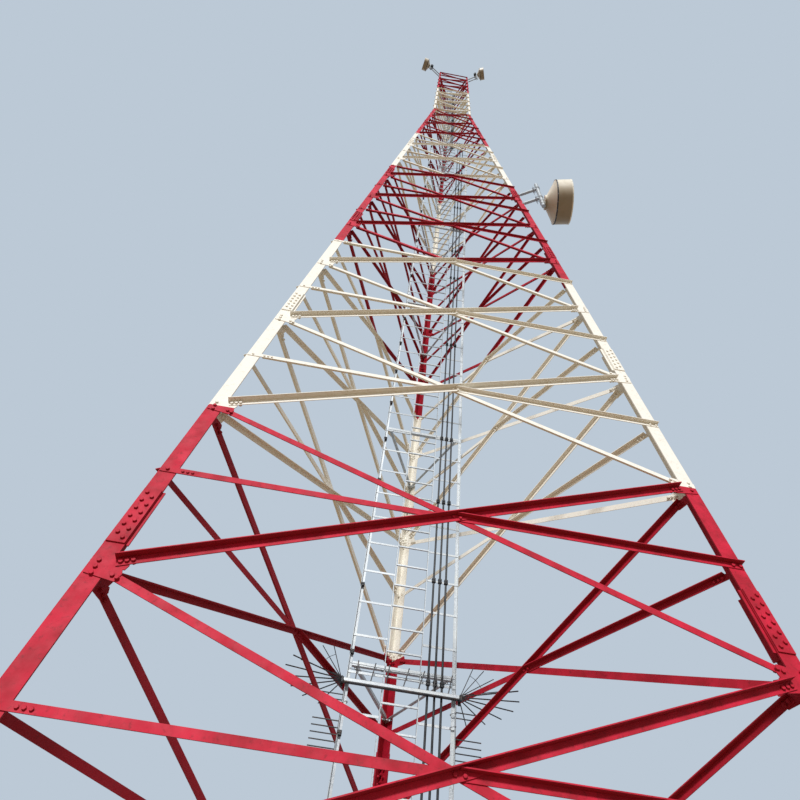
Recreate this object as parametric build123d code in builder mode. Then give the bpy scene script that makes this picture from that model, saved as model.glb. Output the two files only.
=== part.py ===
"""Three-legged lattice radio mast, 38.4 m tall.

Axes: Z up, X to the right, -Y to the front face. The origin is the middle of the underside
of the back leg's base plate. Lengths are in millimetres.
"""

import os
from math import atan2, cos, hypot, radians, sin, sqrt

from build123d import *

os.makedirs("parts", exist_ok=True)


# Driving dimensions of the mast

PANEL = 2000.0
PANELS = 14
TOP_BAY = 1040.0
TOP_BAYS = 10
BASE_WIDTH = 5950.0
WAIST_WIDTH = 1610.0
WAIST_Z = PANELS * PANEL
TOP_Z = WAIST_Z + TOP_BAYS * TOP_BAY
FIRST_NODE_Z = 260.0
SEAT = 0.3
LAP = 0.1

# Feet
PLATE = 500.0
PLATE_T = 30.0
PLATE_INSET = 70.0
ANCHOR_SPACING = 380.0
ANCHOR_HOLE_R = 18.0
RIB = 130.0
RIB_T = 12.0

# Leg angles, bent to 60 degrees: (top of the length, flange, thickness)
LEG_SIZES = [
    (6.3 * PANEL, 165.0, 14.0),
    (10.3 * PANEL, 150.0, 12.0),
    (WAIST_Z, 130.0, 12.0),
    (TOP_Z, 95.0, 10.0),
]
SPLICE_EVERY = 2
SPLICE_START = 220.0
SPLICE_LENGTH = 560.0
SPLICE_T = 12.0

# Bracing angles: (top panel of the group, rising diagonal, falling one and horizontal, thickness)
BRACE_SIZES = [
    (3, 70.0, 60.0, 8.0),
    (6, 65.0, 55.0, 7.0),
    (10, 55.0, 50.0, 6.0),
    (14, 50.0, 45.0, 6.0),
]
TOP_BRACE = 50.0
TOP_BRACE_T = 5.0
GUSSET_T = 8.0

# Ladder with a cable rack on each side, parallel to the back leg
LADDER_DEPTH = 1450.0
LADDER_LOW = 350.0
LADDER_HIGH = WAIST_Z - 3700
RAIL_X = 220.0
RACK_X = 660.0
RAIL = 45.0
RAIL_T = 8.0
RACK_RAIL_T = 5.0
RUNG = 20.0
RUNG_PITCH = 300.0
RACK_BAR = 28.0
RACK_BAR_T = 8.0
RACK_BAR_Y = 16.0
RACK_PITCH = 450.0
BRACKET_PANELS = range(1, 12, 2)
BRACKET_RISE = 150.0
BRACKET_BAR = 50.0
BRACKET_T = 5.0
STRUT = 40.0

# Narrow ladder above, close to the back leg
UPPER_DEPTH = 620.0
UPPER_LOW = LADDER_HIGH - 700
UPPER_LEFT, UPPER_RIGHT = -240.0, 80.0
UPPER_BAR = 40.0
UPPER_BAR_Y = 20.0 + SEAT
FEEDER_TURN_Z = WAIST_Z - 2000
UPPER_BRACKETS = [UPPER_LOW + 400, FEEDER_TURN_Z]
UPPER_BRACKETS += [WAIST_Z + 360 + 2 * TOP_BAY * step for step in range(TOP_BAYS // 2)]

# Feeder cables: (place across the right rack, place beside the narrow ladder, radius)
FEEDERS = [(320.0, 130.0, 14.0), (405.0, 172.0, 14.0), (490.0, 214.0, 14.0)]
FEEDER_LOW = 400.0

# Climbing guard
GUARD_Z = 4960.0
GUARD_BAR = 50.0
GUARD_HALF = 700.0
GUARD_POST = 260.0
SPIKE_R = 7.0
SPIKE = 680.0
SPIKE_ANGLES = range(-30, 71, 20)
COMB_DROPS = (140.0, 200.0, 420.0, 490.0, 560.0, 630.0, 700.0)
COMB_SPIKE = 300.0

# Large dish outside the front right leg
DISH_R = 500.0
DISH_DEPTH = 360.0
DISH_Z = 15400.0
DISH_TURN = -12.0
DISH_WALL = 4.0
DISH_NODE_Z = 8 * PANEL
DISH_ARMS = [(DISH_NODE_Z - 250, SEAT), (DISH_NODE_Z + 450, SPLICE_T + 2 * SEAT)]
DISH_PIPE_ENDS = (250.0, 350.0)
DISH_REACH = 400.0
PIPE_R = 45.0
ARM = 60.0

# Small dishes outside the front legs at the top: (side, leg, height, reach of the arms, turn)
SMALL_DISHES = [
    ("left", 2, TOP_Z - 1000, 650.0, -50.0),
    ("right", 0, TOP_Z - 250, 520.0, -20.0),
]
SMALL_R = 300.0
SMALL_DEPTH = 230.0
SMALL_ARMS = [(TOP_Z - 1420, SEAT), (TOP_Z - 640, SEAT)]
SMALL_PIPE_ENDS = (280.0, 410.0)
SMALL_PIPE_R = 30.0
SMALL_ARM = 45.0
SADDLE = 90.0
SADDLE_T = 8.0
RADIO = (240.0, 130.0, 300.0)


# Setting out

AXIS_Y = PLATE_INSET - BASE_WIDTH / sqrt(3)
TAPER = (BASE_WIDTH - WAIST_WIDTH) / WAIST_Z
LEAN = TAPER / (2 * sqrt(3))
TURNS = [
    Location((0, AXIS_Y, 0)) * Location((0, 0, 0), (0, 0, angle)) * Location((0, -AXIS_Y, 0))
    for angle in (0, 120, 240)
]


def width(z):
    """Distance between two heels at height z."""
    return max(WAIST_WIDTH, BASE_WIDTH - TAPER * z)


def size_at(table, value):
    """The row of a size table that holds at this height or panel."""
    return next(row[1:] for row in table if value <= row[0] + 1e-6)


def heel_y(z):
    """Y of the back leg's heel at height z."""
    return AXIS_Y + width(z) / sqrt(3)


def setback(clear, bar, angle):
    """Distance along a sloping bar that keeps its square end clear of a leg flange."""
    return (clear + 20 + bar / 2 * sin(angle)) / cos(angle)


def panel_ends(panel):
    """Heights of the lower and upper nodes of a panel counted from 1."""
    return (max(FIRST_NODE_Z, (panel - 1) * PANEL), panel * PANEL)


def crossing(panel):
    """Height at which the two diagonals of a panel cross."""
    low, high = panel_ends(panel)
    flange, _ = size_at(LEG_SIZES, low + 1)
    wide, narrow = width(low) - flange, width(high) - flange
    return low + (high - low) * wide / (wide + narrow)


# Seven paint bands, red at the foot and at the top
BAND_TOPS = [
    3 * PANEL,
    crossing(6) + 50,
    crossing(9) + 50,
    11 * PANEL,
    WAIST_Z,
    WAIST_Z + TOP_BAY * TOP_BAYS / 2 + TOP_BRACE,
    TOP_Z,
]
BANDS = list(zip([0.0] + BAND_TOPS[:-1], BAND_TOPS))

# The front face below and above the waist, with the leg flanges' outer sides on the plane
TAPERED_FACE = Plane(
    origin=(0, AXIS_Y - BASE_WIDTH / (2 * sqrt(3)), 0),
    x_dir=(1, 0, 0),
    z_dir=(0, -1, LEAN),
)
TOP_FACE = Plane(
    origin=(0, AXIS_Y - WAIST_WIDTH / (2 * sqrt(3)), WAIST_Z),
    x_dir=(1, 0, 0),
    z_dir=(0, -1, 0),
)


def up_face(z):
    """Distance up the tapered face that reaches height z."""
    return z * sqrt(1 + LEAN**2)


def up_top(z):
    """Distance up the face above the waist that reaches height z."""
    return z - WAIST_Z


def save(builder, name):
    """Label one node and write its file."""
    builder.part.label = name
    export_step(builder.part, f"parts/{name}.step")


# Building blocks of the faces

def angle_bar(face, start, end, flange, thick, layer, stand, edge=-1):
    """Equal angle between two points of a face.

    It stands out (1) or in (-1) on its lower (-1) or upper (1) edge.
    """
    run = Vector(end[0] - start[0], end[1] - start[1], 0)
    if run.X < 0:
        start, end, run = end, start, run * -1
    along = (face.x_dir * run.X + face.y_dir * run.Y).normalized()
    section = Plane(
        origin=face.from_local_coords((start[0], start[1], 0)),
        x_dir=face.z_dir.cross(along),
        z_dir=along,
    )
    low, half = layer, flange / 2
    back = low if stand > 0 else low + thick
    front = low + thick if stand > 0 else low
    tip = back + stand * flange
    with BuildPart() as bar:
        with BuildSketch(section):
            with BuildLine():
                Polyline(
                    (-edge * half, back), (edge * half, back), (edge * half, tip),
                    (edge * (half - thick), tip), (edge * (half - thick), front),
                    (-edge * half, front), close=True,
                )
            make_face()
        extrude(amount=run.length)
    return bar.part


def flat_plate(face, outline, layer, thick):
    """Plate with the given outline on a face."""
    with BuildPart() as plate:
        with BuildSketch(face.offset(layer)):
            with BuildLine():
                Polyline(*outline, close=True)
            make_face()
        extrude(amount=thick)
    return plate.part


def node_gusset(face, side, node_x, node_v, inset, angle, reach, bar, up, down):
    """Gusset on one leg that takes the diagonals going up and down from a node."""
    edge = inset - 25
    rise = bar * 1.1
    spread = bar / 2 + 6
    far = (reach * cos(angle), reach * sin(angle))
    upper = [
        (-edge, rise),
        (far[0] - spread * sin(angle), far[1] + spread * cos(angle)),
        (far[0] + spread * sin(angle), far[1] - spread * cos(angle)),
    ]
    lower = [(x, -v) for x, v in reversed(upper)]
    outline = (upper if up else [(-edge, 0), (far[0], 0)]) + (
        lower if down else [(far[0], 0), (-edge, 0)]
    )
    points = []
    for x, v in outline:
        point = (node_x - side * x, node_v + v)
        if not points or hypot(point[0] - points[-1][0], point[1] - points[-1][1]) > 1:
            points.append(point)
    return flat_plate(face, points, SEAT, GUSSET_T)


def mid_horizontal(z, bar, thick):
    """Horizontal in two halves, the left one with its inward flange cut back at the leg."""
    face = TAPERED_FACE
    flange, _ = size_at(LEG_SIZES, z)
    half, v = width(z) / 2, up_face(z)
    inner = half - flange - 18
    tab = [
        (x, v + rise)
        for x, rise in (
            (22 - half, -bar / 2), (22 - half, bar / 2),
            (160 - inner, bar / 2), (160 - inner, -bar / 2),
        )
    ]
    return [
        angle_bar(face, (-inner, v), (1, v), bar, thick, SEAT + GUSSET_T - thick, -1, 1),
        angle_bar(face, (0, v), (half - 22, v), bar, thick, SEAT, 1, 1),
        flat_plate(face, tab, SEAT, GUSSET_T),
    ]


def lapped_horizontal(z):
    """Horizontal above the waist, lapped over the outside of both leg flanges."""
    half, v = width(z) / 2 - 18, up_top(z)
    return angle_bar(TOP_FACE, (-half, v), (half, v), TOP_BRACE, TOP_BRACE_T, SEAT, 1)


def cross_braced_panel(panel):
    """Two diagonals that cross, the horizontal through their crossing and four half gussets."""
    strong, light, thick = size_at(BRACE_SIZES, panel)
    low, high = panel_ends(panel)
    flange, _ = size_at(LEG_SIZES, low + 1)
    inset = flange / 2
    x_low, x_high = width(low) / 2 - inset, width(high) / 2 - inset
    v_low, v_high = up_face(low), up_face(high)
    angle = atan2(v_high - v_low, x_low + x_high)
    face = TAPERED_FACE
    pieces = []
    for bar, side, layer, stand in (
        (light, 1, SEAT + LAP - thick, -1),
        (strong, -1, SEAT + GUSSET_T - LAP, 1),
    ):
        back = setback(flange - inset, bar, angle)
        along, up = back * cos(angle), back * sin(angle)
        foot = (side * (x_low - along), v_low + up)
        head = (-side * (x_high - along), v_high - up)
        pieces.append(angle_bar(face, foot, head, bar, thick, layer, stand, 1))
        reach = back + 1.3 * bar
        pieces.append(
            node_gusset(face, side, side * x_low, v_low, inset, angle, reach, bar, True, False)
        )
        pieces.append(
            node_gusset(face, -side, -side * x_high, v_high, inset, angle, reach, bar, False, True)
        )
    return pieces + mid_horizontal(crossing(panel), light, thick)


def top_bay(bay):
    """Horizontal at the foot of a bay, one diagonal and its two half gussets."""
    face = TOP_FACE
    flange, _ = size_at(LEG_SIZES, WAIST_Z + 1)
    inset = flange / 2
    low = WAIST_Z + bay * TOP_BAY
    lift = TOP_BRACE / 2 + 5 if bay == 0 else 0
    pieces = [lapped_horizontal(low + lift)]
    x = width(low) / 2 - inset
    angle = atan2(TOP_BAY, 2 * x)
    back = setback(flange - inset, TOP_BRACE, angle)
    trim = (back * cos(angle), back * sin(angle))
    side = 1 if bay % 2 else -1
    v_low, v_high = up_top(low), up_top(low + TOP_BAY)
    start = (side * (x - trim[0]), v_low + trim[1])
    end = (-side * (x - trim[0]), v_high - trim[1])
    pieces.append(
        angle_bar(face, start, end, TOP_BRACE, TOP_BRACE_T, SEAT + LAP - TOP_BRACE_T, -1)
    )
    reach = back + 1.3 * TOP_BRACE
    for at, v, up in ((side, v_low, True), (-side, v_high, False)):
        pieces.append(
            node_gusset(face, at, at * x, v, inset, angle, reach, TOP_BRACE, up, not up)
        )
    return pieces


def face_lattice(low, high):
    """The front face's bracing between two heights."""
    pieces = []
    for panel in range(1, PANELS + 1):
        start, end = panel_ends(panel)
        if end > low - 200 and start < high + 200 and low < WAIST_Z:
            pieces += cross_braced_panel(panel)
    for bay in range(TOP_BAYS):
        start = WAIST_Z + bay * TOP_BAY
        if start + TOP_BAY > low - 1 and start < high + 1 and high > WAIST_Z:
            pieces += top_bay(bay)
    if high > TOP_Z - 1:
        pieces.append(lapped_horizontal(TOP_Z - TOP_BRACE / 2 - 5))
    reach = 2 * BASE_WIDTH
    with BuildPart() as lattice:
        add(pieces)
        with Locations((0, AXIS_Y, (low + high) / 2)):
            Box(reach, reach, high - low, mode=Mode.INTERSECT)
    return lattice.part


# Legs

def leg_length(low, high, flange, thick):
    """Back leg between two heights: a plate bent to 60 degrees, heel outward."""
    slope = 0 if low >= WAIST_Z else TAPER / sqrt(3)
    left, right = Vector(-0.5, -sqrt(3) / 2), Vector(0.5, -sqrt(3) / 2)
    left_in, right_in = Vector(sqrt(3) / 2, -0.5) * thick, Vector(-sqrt(3) / 2, -0.5) * thick
    with BuildPart() as leg:
        with BuildSketch(Plane((0, heel_y(low), low))) as section:
            with BuildLine():
                Polyline(
                    (0, 0), left * flange, left * flange + left_in, (0, -2 * thick),
                    right * flange + right_in, right * flange, close=True,
                )
            make_face()
            fillet(section.vertices().sort_by(Axis.Y)[-1], radius=thick)
        extrude(amount=(high - low) * sqrt(1 + slope**2), dir=Vector(0, -slope, 1).normalized())
    return leg.part


def legs_between(low, high):
    """The three legs of one paint band."""
    cuts = sorted({low, high} | {row[0] for row in LEG_SIZES if low < row[0] < high})
    with BuildPart() as legs:
        for start, end in zip(cuts, cuts[1:]):
            leg = leg_length(max(start, PLATE_T), end, *size_at(LEG_SIZES, end))
            for turn in TURNS:
                add(turn * leg)
    return legs


for number, (low, high) in enumerate(BANDS, start=1):
    save(legs_between(low, high), f"legs_{number}")


# Faces

for number, (low, high) in enumerate(BANDS, start=1):
    lattice = face_lattice(low, high)
    for side, turn in zip(("front", "right", "left"), TURNS):
        with BuildPart() as bracing:
            add(turn * lattice)
        save(bracing, f"{side}_bracing_{number}")


# Feet: a plate with four anchor holes and a rib on the outside of each flange

def foot_ribs():
    """Ribs of the back leg on its two flanges."""
    ribs = []
    for turn, side in ((TURNS[1], 1), (TURNS[2], -1)):
        x = side * (BASE_WIDTH / 2 - 110)
        section = Plane(
            origin=TAPERED_FACE.from_local_coords((x - RIB_T / 2, 0, 0)),
            x_dir=TAPERED_FACE.z_dir,
            z_dir=TAPERED_FACE.x_dir * -1,
        )
        with BuildPart() as rib:
            with BuildSketch(section):
                with BuildLine():
                    Polyline(
                        (SEAT, PLATE_T - 12), (SEAT, PLATE_T + RIB), (SEAT + 20, PLATE_T + RIB),
                        (RIB, PLATE_T + 20), (RIB, PLATE_T - 12), close=True,
                    )
                make_face()
            extrude(amount=-RIB_T)
        ribs.append(turn * rib.part)
    return ribs


with BuildPart() as base_plates:
    for turn in TURNS:
        centre = (turn * Location((0, 0, 0))).position
        with Locations((centre.X, centre.Y, PLATE_T / 2)):
            Box(PLATE, PLATE, PLATE_T)
            with GridLocations(ANCHOR_SPACING, ANCHOR_SPACING, 2, 2):
                Hole(ANCHOR_HOLE_R)
        add([turn * rib for rib in foot_ribs()])
save(base_plates, "base_plates")


# Splice plates on the outside of both flanges of each leg

def splice_plates(node):
    """Two flat cover plates of the front face above a node."""
    z_low = node * PANEL + SPLICE_START
    z_high = z_low + SPLICE_LENGTH
    flange, _ = size_at(LEG_SIZES, z_high)
    plates = []
    for side in (-1, 1):
        outline = [
            (side * (width(z) / 2 - inset), up_face(z))
            for z, inset in (
                (z_low, 22), (z_high, 22), (z_high, flange - 4), (z_low, flange - 4)
            )
        ]
        plates.append(flat_plate(TAPERED_FACE, outline, SEAT, SPLICE_T))
    return plates


with BuildPart() as leg_splices:
    for node in range(2, PANELS, SPLICE_EVERY):
        plates = splice_plates(node)
        for turn in TURNS:
            add([turn * plate for plate in plates])
save(leg_splices, "leg_splices")


# Ladder and cable racks

def ladder_y(z, depth=LADDER_DEPTH):
    """Y of the ladder's plane at height z."""
    return heel_y(z) - depth


def leaning_bar(x_range, y_range, low, high, depth=LADDER_DEPTH):
    """Upright of rectangular plan that runs parallel to the back leg."""
    slope = 0 if low >= WAIST_Z else TAPER / sqrt(3)
    (x0, x1), (y0, y1) = sorted(x_range), sorted(y_range)
    with BuildPart() as upright:
        with BuildSketch(Plane((0, ladder_y(low, depth), low))):
            with Locations(((x0 + x1) / 2, (y0 + y1) / 2)):
                Rectangle(x1 - x0, y1 - y0)
        extrude(amount=(high - low) * sqrt(1 + slope**2), dir=Vector(0, -slope, 1).normalized())
    return upright.part


def steps(low, high, pitch):
    """Heights from low up to high at an even pitch."""
    return [low + pitch * step for step in range(int((high - low) / pitch) + 1)]


with BuildPart() as ladder:
    for side in (-1, 1):
        web = (side * (RAIL_X - RAIL_T / 2), side * (RAIL_X + RAIL_T / 2))
        add(leaning_bar(web, (-RAIL / 2, RAIL / 2), LADDER_LOW, LADDER_HIGH))
    with Locations(*[(0, ladder_y(z), z) for z in steps(600, LADDER_HIGH - 100, RUNG_PITCH)]):
        Box(2 * RAIL_X, RUNG, RUNG)
save(ladder, "ladder")

for name, side in (("left_cable_rack", -1), ("right_cable_rack", 1)):
    inner = RAIL_X + RAIL_T / 2 + SEAT
    outer = RACK_X - RACK_RAIL_T
    with BuildPart() as rack:
        add(leaning_bar((side * outer, side * RACK_X), (-RAIL / 2, RAIL / 2), LADDER_LOW, LADDER_HIGH))
        add(
            leaning_bar(
                (side * (RACK_X - RAIL), side * RACK_X),
                (RAIL / 2 - RACK_RAIL_T, RAIL / 2), LADDER_LOW, LADDER_HIGH,
            )
        )
        places = [
            (side * (inner + outer + 2) / 2, ladder_y(z) + RACK_BAR_Y, z)
            for z in steps(600, LADDER_HIGH - 100, RACK_PITCH)
        ]
        with Locations(*places):
            Box(outer + 2 - inner, RACK_BAR_T, RACK_BAR)
    save(rack, name)

with BuildPart() as upper_ladder:
    for x in (UPPER_LEFT, UPPER_RIGHT):
        for low, high in ((UPPER_LOW, WAIST_Z), (WAIST_Z, TOP_Z - 150)):
            add(leaning_bar((x, x + RAIL_T), (-20, 20), low, high, UPPER_DEPTH))
    middle = (UPPER_LEFT + UPPER_RIGHT + RAIL_T) / 2
    rungs = steps(UPPER_LOW + 150, TOP_Z - 250, RUNG_PITCH)
    with Locations(*[(middle, ladder_y(z, UPPER_DEPTH), z) for z in rungs]):
        Box(UPPER_RIGHT - UPPER_LEFT, RUNG, RUNG)
save(upper_ladder, "upper_ladder")


# Brackets from the ladder to the back leg

def flat_angle(start, end, z, flange, thick):
    """Horizontal angle between two points in plan, standing on height z."""
    run = Vector(end[0] - start[0], end[1] - start[1], 0)
    along = run.normalized()
    section = Plane(
        origin=(start[0], start[1], z), x_dir=Vector(0, 0, 1).cross(along), z_dir=along
    )
    half = flange / 2
    with BuildPart() as bar:
        with BuildSketch(section):
            with BuildLine():
                Polyline(
                    (-half, 0), (half, 0), (half, thick), (-half + thick, thick),
                    (-half + thick, flange), (-half, flange), close=True,
                )
            make_face()
        extrude(amount=run.length)
    return bar.part


def leg_clip(z, thick):
    """Triangular plate that sits between the back leg's flanges."""
    flange, leg_thick = size_at(LEG_SIZES, z)
    tip = heel_y(z) - 2 * leg_thick - 2 * SEAT
    reach = flange - 2 * leg_thick
    with BuildPart() as clip:
        with BuildSketch(Plane((0, tip, z - thick))):
            with BuildLine():
                Polyline(
                    (0, 0), (-reach / 2, -reach * sqrt(3) / 2),
                    (reach / 2, -reach * sqrt(3) / 2), close=True,
                )
            make_face()
        extrude(amount=thick)
    return clip.part, tip - reach * sqrt(3) / 2


with BuildPart() as ladder_brackets:
    for z in [crossing(panel) + BRACKET_RISE for panel in BRACKET_PANELS]:
        clip, root_y = leg_clip(z, 10)
        bar_y = ladder_y(z) + RAIL / 2 + SEAT + BRACKET_BAR / 2
        add(clip)
        add(flat_angle((-RACK_X, bar_y), (RACK_X, bar_y), z, BRACKET_BAR, BRACKET_T))
        for side in (-1, 1):
            start = (side * (RACK_X - 90), bar_y + 10)
            add(flat_angle(start, (side * 23, root_y + 6), z, STRUT, BRACKET_T))
save(ladder_brackets, "ladder_brackets")

with BuildPart() as upper_brackets:
    for z in UPPER_BRACKETS:
        clip, root_y = leg_clip(z, 8)
        bar_y = ladder_y(z, UPPER_DEPTH) + UPPER_BAR_Y + UPPER_BAR / 2
        add(clip)
        add(flat_angle((UPPER_LEFT - 8, bar_y), (FEEDERS[-1][1] + 22, bar_y), z, UPPER_BAR, 4))
        add(flat_angle((0, bar_y + 5), (0, root_y + 10), z, UPPER_BAR, 4))
save(upper_brackets, "upper_brackets")


# Feeder cables

with BuildPart() as feeder_cables:
    for rack_x, upper_x, radius in FEEDERS:
        front = RACK_BAR_Y - RACK_BAR_T / 2 - RACK_BAR / 2 * TAPER / sqrt(3) - SEAT - radius
        upper = UPPER_BAR_Y - 2 * SEAT - radius
        points = [
            (rack_x, ladder_y(FEEDER_LOW) + front, FEEDER_LOW),
            (rack_x, ladder_y(LADDER_HIGH) + front, LADDER_HIGH),
            (upper_x, ladder_y(FEEDER_TURN_Z, UPPER_DEPTH) + upper, FEEDER_TURN_Z),
            (upper_x, ladder_y(WAIST_Z, UPPER_DEPTH) + upper, WAIST_Z),
            (upper_x, ladder_y(TOP_Z, UPPER_DEPTH) + upper, TOP_Z - 700),
        ]
        with BuildLine() as route:
            Polyline(*points)
        with BuildSketch(Plane(origin=points[0], z_dir=route.line % 0)):
            RegularPolygon(radius, 8)
        sweep(path=route.line, transition=Transition.RIGHT)
save(feeder_cables, "feeder_cables")


# Climbing guard: a bar in front of the rails with posts, and fans and combs of spikes

def spike(start, direction, length, radius=SPIKE_R):
    """Six-sided rod."""
    with BuildPart() as rod:
        with BuildSketch(Plane(origin=start, z_dir=direction)):
            RegularPolygon(radius, 6)
        extrude(amount=length)
    return rod.part


GUARD_Y = ladder_y(GUARD_Z + GUARD_BAR / 2) - RAIL / 2 - SEAT - GUARD_BAR / 2
with BuildPart() as guard_frame:
    with Locations((0, GUARD_Y, GUARD_Z)):
        Box(2 * GUARD_HALF, GUARD_BAR, GUARD_BAR)
    with Locations(*[(x, GUARD_Y, GUARD_Z + GUARD_POST / 2) for x in range(-600, 601, 240)]):
        Box(8, 30, GUARD_POST)
    for height in (0.55, 0.85):
        add(spike((-640, GUARD_Y, GUARD_Z + height * GUARD_POST), (1, 0, 0), 1280, 4))
save(guard_frame, "guard_frame")

with BuildPart() as guard_spikes:
    for side in (-1, 1):
        hub_x = side * (GUARD_HALF + SEAT + 5)
        with Locations((hub_x, GUARD_Y, GUARD_Z)):
            Box(10, 120, GUARD_BAR)
        for angle in SPIKE_ANGLES:
            direction = (side * cos(radians(angle)), sin(radians(angle)), 0)
            start = (hub_x, GUARD_Y + (angle - 20) * 0.9, GUARD_Z)
            add(spike(start, direction, SPIKE))
save(guard_spikes, "guard_spikes")

with BuildPart() as guard_combs:
    for side in (-1, 1):
        x = side * (RACK_X + SEAT)
        add(
            leaning_bar(
                (x, x + side * 6), (-RAIL / 2, RAIL / 2 - 15),
                GUARD_Z - COMB_DROPS[-1] - 60, GUARD_Z - COMB_DROPS[0] + 60,
            )
        )
        for drop in COMB_DROPS:
            z = GUARD_Z - drop
            add(spike((x + side * 3, ladder_y(z) - 7, z), (side, 0, 0), COMB_SPIKE))
save(guard_combs, "guard_combs")


# Dishes: a cone behind, a drum round the rim and a flat cover in front

def turned(profile, place):
    """Solid turned about the X axis from a closed outline, then put in its place."""
    with BuildPart() as piece:
        with BuildSketch(Plane.XY):
            with BuildLine():
                Polyline(*profile, close=True)
            make_face()
        revolve(axis=Axis.X)
    return place * piece.part


def dish_outline(radius, depth):
    """Hub radius, neck length and the distance to the rim and to the front of a dish."""
    neck = 0.1 * radius
    return 0.34 * radius, neck, neck + 0.34 * radius, neck + 0.34 * radius + depth


def saddle(z, layer):
    """Two plates against the outsides of the front right leg's flanges, past its heel."""
    face, v = (TAPERED_FACE, up_face(z)) if z < WAIST_Z else (TOP_FACE, up_top(z))
    half = width(z) / 2
    past = layer + SADDLE_T + 20
    outline = [
        (half - 0.55 * SADDLE, v - SADDLE / 2), (half + past, v - SADDLE / 2),
        (half + past, v + SADDLE / 2), (half - 0.55 * SADDLE, v + SADDLE / 2),
    ]
    front = flat_plate(face, outline, layer, SADDLE_T)
    mirrored = [(-x, v) for x, v in outline]
    return [front, TURNS[1] * flat_plate(face, mirrored, layer, SADDLE_T)]


def outrigger(arms, dish_z, pipe_ends, reach, arm, pipe_r):
    """Arms straight out from the heel of the front right leg and the pipe they carry.

    The pipe runs past the lowest and the highest of the arms and the dish by its two ends.
    """
    heights = [z for z, _ in arms] + [dish_z]
    low, high = min(heights) - pipe_ends[0], max(heights) + pipe_ends[1]
    out = Vector(cos(radians(-30)), sin(radians(-30)), 0)
    axis = Vector(0, AXIS_Y, 0)
    pipe = axis + out * (width(arms[0][0]) / sqrt(3) + reach)
    with BuildPart() as mount:
        for z, layer in arms:
            add(saddle(z, layer))
            heel = axis + out * (width(z) / sqrt(3) + 2 * (layer + 4))
            with BuildSketch(Plane(origin=heel + Vector(0, 0, z), x_dir=(0, 0, 1), z_dir=out)):
                Rectangle(arm, arm)
                Rectangle(arm - 12, arm - 12, mode=Mode.SUBTRACT)
            extrude(amount=(pipe - heel).length)
        with Locations((pipe.X, pipe.Y, (low + high) / 2)):
            Cylinder(pipe_r, high - low)
    return mount.part, pipe


mount, pipe = outrigger(DISH_ARMS, DISH_Z, DISH_PIPE_ENDS, DISH_REACH, ARM, PIPE_R)
with BuildPart() as dish_mount:
    add(mount)
save(dish_mount, "dish_mount")
facing = Vector(cos(radians(DISH_TURN)), sin(radians(DISH_TURN)), 0)
hub_at = pipe + facing * (PIPE_R + SEAT)
place = Location((hub_at.X, hub_at.Y, DISH_Z), (0, 0, DISH_TURN))
hub, neck, rim, front = dish_outline(DISH_R, DISH_DEPTH)
wall = DISH_WALL
dish_profiles = {
    "back": [
        (0, 0), (0, hub), (neck, hub), (rim, DISH_R - wall - SEAT),
        (rim + 2 * wall, DISH_R - wall - SEAT), (neck + 2 * wall, hub), (neck + 2 * wall, 0),
    ],
    "shroud": [
        (rim - wall, DISH_R - wall), (rim - wall, DISH_R), (front, DISH_R), (front, DISH_R - wall)
    ],
    "cover": [
        (front - 6 * wall, 0), (front - 6 * wall, DISH_R - wall - SEAT),
        (front - 4 * wall, DISH_R - wall - SEAT), (front - 4 * wall, 0),
    ],
}
for name, profile in dish_profiles.items():
    with BuildPart() as dish:
        add(turned(profile, place))
    save(dish, f"dish_{name}")

hub, neck, rim, front = dish_outline(SMALL_R, SMALL_DEPTH)
for side, leg, dish_z, reach, turn in SMALL_DISHES:
    mount, pipe = outrigger(SMALL_ARMS, dish_z, SMALL_PIPE_ENDS, reach, SMALL_ARM, SMALL_PIPE_R)
    with BuildPart() as small_mount:
        add(TURNS[leg] * mount)
    save(small_mount, f"{side}_outrigger")
    facing = Vector(cos(radians(turn)), sin(radians(turn)), 0)
    hub_at = pipe + facing * (SMALL_PIPE_R + SEAT)
    place = Location((hub_at.X, hub_at.Y, dish_z), (0, 0, turn))
    with BuildPart() as small_dish:
        add(TURNS[leg] * turned([
            (0, 0), (0, hub), (neck, hub), (rim, SMALL_R), (front, SMALL_R), (front, 0)
        ], place))
    save(small_dish, f"{side}_dish")
    with BuildPart() as radio:
        back_at = pipe - facing * (SMALL_PIPE_R + SEAT + RADIO[1] / 2)
        box_at = Location((back_at.X, back_at.Y, dish_z), (0, 0, turn - 90))
        add(TURNS[leg] * box_at * Box(*RADIO, mode=Mode.PRIVATE))
    save(radio, f"{side}_radio")
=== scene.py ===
# %% [markdown]
# # A three-legged lattice radio mast
#
# The mast is bolted from steel angles and painted in red and white bands. Its height, 38 m,
# is an estimate. It arrives as a frame of plain solids, already in place. This lesson gives
# each solid its finish and adds the small things that make a bolted tower: bolts, clamps,
# wires, welds and turned dishes. Lengths are in metres, Z is up and -Y is the front.

# %% Load the frame
from math import atan2, cos, pi, radians, sin, sqrt

import bpy
import numpy as np
from mathutils import Matrix, Vector


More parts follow.
